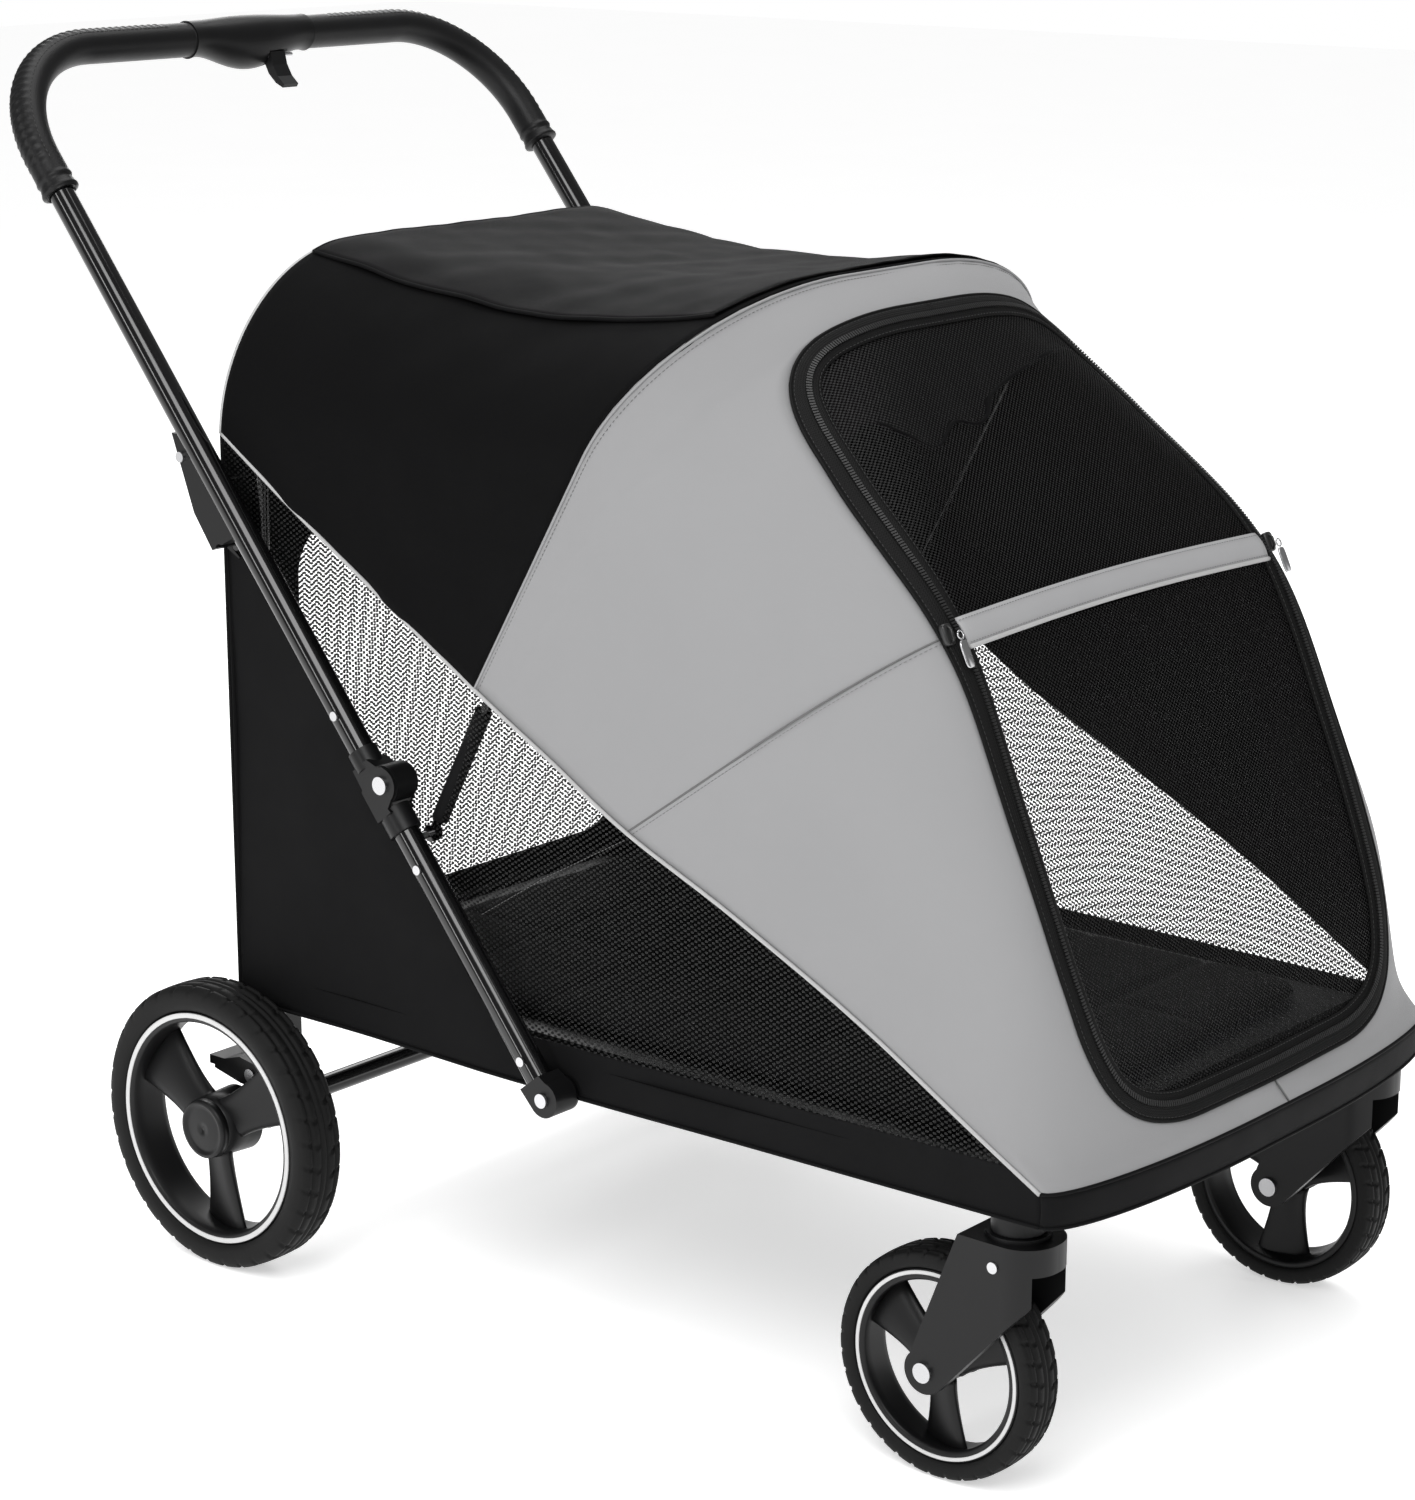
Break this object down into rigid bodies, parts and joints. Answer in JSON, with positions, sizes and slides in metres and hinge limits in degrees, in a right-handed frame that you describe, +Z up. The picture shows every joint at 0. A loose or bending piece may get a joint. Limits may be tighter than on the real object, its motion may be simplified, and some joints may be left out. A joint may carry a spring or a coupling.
{
  "type": "pet stroller",
  "caption": "Folding pet stroller: zipped fabric cabin on a tube frame with swivel front casters, large rear wheels and a padded U handle.",
  "frame": {"origin": "on the floor under the middle of the stroller, half way between nose and handle", "axes": "+X to the stroller's left, +Y to the rear (towards the handle), +Z up"},
  "size_m": [0.6784, 1.1664, 1.0493],
  "materials": {
    "painted_tube": "gloss black powder coat",
    "black_plastic": "fine moulded texture",
    "tyre": "matte rubber with tread",
    "bright_steel": "zinc plated",
    "grip_leather": "stitched leatherette",
    "black_fabric": "coated polyester",
    "gray_fabric": "coated polyester",
    "black_mesh": "open knitted mesh",
    "mat_fabric": "quilted fleece"
  },
  "bodies": {
    "base": {"base_rail_left": "painted_tube", "base_rail_right": "painted_tube", "nose_tube": "painted_tube", "rear_cross_tube": "painted_tube", "rear_leg_left": "painted_tube", "rear_leg_right": "painted_tube", "rear_axle_tube": "painted_tube", "rear_axle_rod": "bright_steel", "rear_axle_spacers": "bright_steel", "caster_sockets": "black_plastic", "floor_board": "black_plastic", "floor_mat": "mat_fabric", "lower_pivot_brackets": "painted_tube", "pivot_pins": "bright_steel", "side_panel_left": "black_fabric", "side_panel_right": "black_fabric", "rear_panel": "black_fabric", "canopy_rear": "black_fabric", "canopy_front": "gray_fabric", "nose_band": "black_fabric", "crossbar_band": "gray_fabric", "crossbar_stay": "black_plastic", "zip_border": "black_plastic"},
    "lower_frame": {"lower_tube_left": "painted_tube", "lower_tube_right": "painted_tube", "lower_end_caps": "black_plastic", "lower_knuckles": "black_plastic", "fold_pins": "bright_steel"},
    "upper_frame": {"handle_tube": "painted_tube", "grips": "grip_leather", "hub_shell_top": "black_plastic", "hub_shell_bottom": "black_plastic", "upper_knuckles": "black_plastic", "catch_plates": "black_plastic", "handle_fasteners": "bright_steel"},
    "fold_trigger": {"fold_trigger": "black_plastic"},
    "rear_hoop": {"rear_hoop": "painted_tube"},
    "canopy_bow": {"canopy_bow": "painted_tube"},
    "window_upper": {"window_upper": "black_mesh"},
    "door_lower": {"door_lower": "black_mesh"},
    "brake_left": {"brake_lever_left": "black_plastic"},
    "rear_wheel_left": {"rear_rim_left": "black_plastic", "rear_tyre_left": "tyre", "rear_hub_cap_left": "black_plastic"},
    "caster_left": {"caster_fork_left": "black_plastic", "caster_stem_left": "bright_steel", "caster_bolts_left": "bright_steel"},
    "front_wheel_left": {"front_rim_left": "black_plastic", "front_tyre_left": "tyre"},
    "zip_pull_left": {"zip_pull_left": "black_plastic"},
    "brake_right": {"brake_lever_right": "black_plastic"},
    "rear_wheel_right": {"rear_rim_right": "black_plastic", "rear_tyre_right": "tyre", "rear_hub_cap_right": "black_plastic"},
    "caster_right": {"caster_fork_right": "black_plastic", "caster_stem_right": "bright_steel", "caster_bolts_right": "bright_steel"},
    "front_wheel_right": {"front_rim_right": "black_plastic", "front_tyre_right": "tyre"},
    "zip_pull_right": {"zip_pull_right": "black_plastic"}
  },
  "joints": [
    {"name": "lower_tube_fold", "type": "hinge", "parent": "base", "child": "lower_frame", "pos_m": [0, -0.0806, 0.2363], "axis": [1, 0, 0], "range_deg": [-43.14, 0]},
    {"name": "handle_fold", "type": "hinge", "parent": "lower_frame", "child": "upper_frame", "pos_m": [0, 0.0921, 0.467], "axis": [1, 0, 0], "range_deg": [0, 166], "deforming": ["side_panel_left", "side_panel_right", "rear_panel", "canopy_rear", "canopy_front", "nose_band", "crossbar_band", "crossbar_stay", "zip_border", "window_upper", "door_lower"]},
    {"name": "rear_hoop_fold", "type": "hinge", "parent": "base", "child": "rear_hoop", "pos_m": [0, 0.285, 0.25], "axis": [1, 0, 0], "range_deg": [0, 78.73]},
    {"name": "canopy_bow_fold", "type": "hinge", "parent": "lower_frame", "child": "canopy_bow", "pos_m": [0, 0.06982, 0.42333], "axis": [1, 0, 0], "range_deg": [0, 98.27]},
    {"name": "fold_trigger_pull", "type": "hinge", "parent": "upper_frame", "child": "fold_trigger", "pos_m": [0.023, 0.549, 1.01234], "axis": [1, 0, 0], "range_deg": [0, 14], "stiffness_Nm_per_rad": 0.3, "springref_deg": -8.59},
    {"name": "window_upper_open", "type": "hinge", "parent": "base", "child": "window_upper", "pos_m": [0, -0.226, 0.846], "axis": [-1, 0, 0], "range_deg": [0, 95]},
    {"name": "door_lower_open", "type": "hinge", "parent": "base", "child": "door_lower", "pos_m": [0, -0.569, 0.28], "axis": [1, 0, 0], "range_deg": [0, 105]},
    {"name": "rear_wheel_left_spin", "type": "hinge", "parent": "base", "child": "rear_wheel_left", "pos_m": [0.3137, 0.297, 0.127], "axis": [1, 0, 0], "continuous": true},
    {"name": "caster_left_swivel", "type": "hinge", "parent": "base", "child": "caster_left", "pos_m": [0.247, -0.4985, 0.222], "axis": [0, 0, 1], "continuous": true},
    {"name": "front_wheel_left_spin", "type": "hinge", "parent": "caster_left", "child": "front_wheel_left", "pos_m": [0.247, -0.4355, 0.0925], "axis": [1, 0, 0], "continuous": true},
    {"name": "brake_left_press", "type": "hinge", "parent": "base", "child": "brake_left", "pos_m": [0.276, 0.288, 0.165], "axis": [-1, 0, 0], "range_deg": [0, 18]},
    {"name": "zip_pull_left_swing", "type": "hinge", "parent": "base", "child": "zip_pull_left", "pos_m": [0.221, -0.41514, 0.65383], "axis": [-1, 0, 0], "range_deg": [0, 120]},
    {"name": "rear_wheel_right_spin", "type": "hinge", "parent": "base", "child": "rear_wheel_right", "pos_m": [-0.3137, 0.297, 0.127], "axis": [1, 0, 0], "continuous": true},
    {"name": "caster_right_swivel", "type": "hinge", "parent": "base", "child": "caster_right", "pos_m": [-0.247, -0.4985, 0.222], "axis": [0, 0, 1], "continuous": true},
    {"name": "front_wheel_right_spin", "type": "hinge", "parent": "caster_right", "child": "front_wheel_right", "pos_m": [-0.247, -0.4355, 0.0925], "axis": [1, 0, 0], "continuous": true},
    {"name": "brake_right_press", "type": "hinge", "parent": "base", "child": "brake_right", "pos_m": [-0.276, 0.288, 0.165], "axis": [-1, 0, 0], "range_deg": [0, 18]},
    {"name": "zip_pull_right_swing", "type": "hinge", "parent": "base", "child": "zip_pull_right", "pos_m": [-0.221, -0.41514, 0.65383], "axis": [-1, 0, 0], "range_deg": [0, 120]}
  ],
  "couplings": [
    {"joint": "lower_tube_fold", "follows": "handle_fold", "ratio": -0.25988},
    {"joint": "rear_hoop_fold", "follows": "handle_fold", "ratio": 0.47428},
    {"joint": "canopy_bow_fold", "follows": "handle_fold", "ratio": 0.59199}
  ]
}
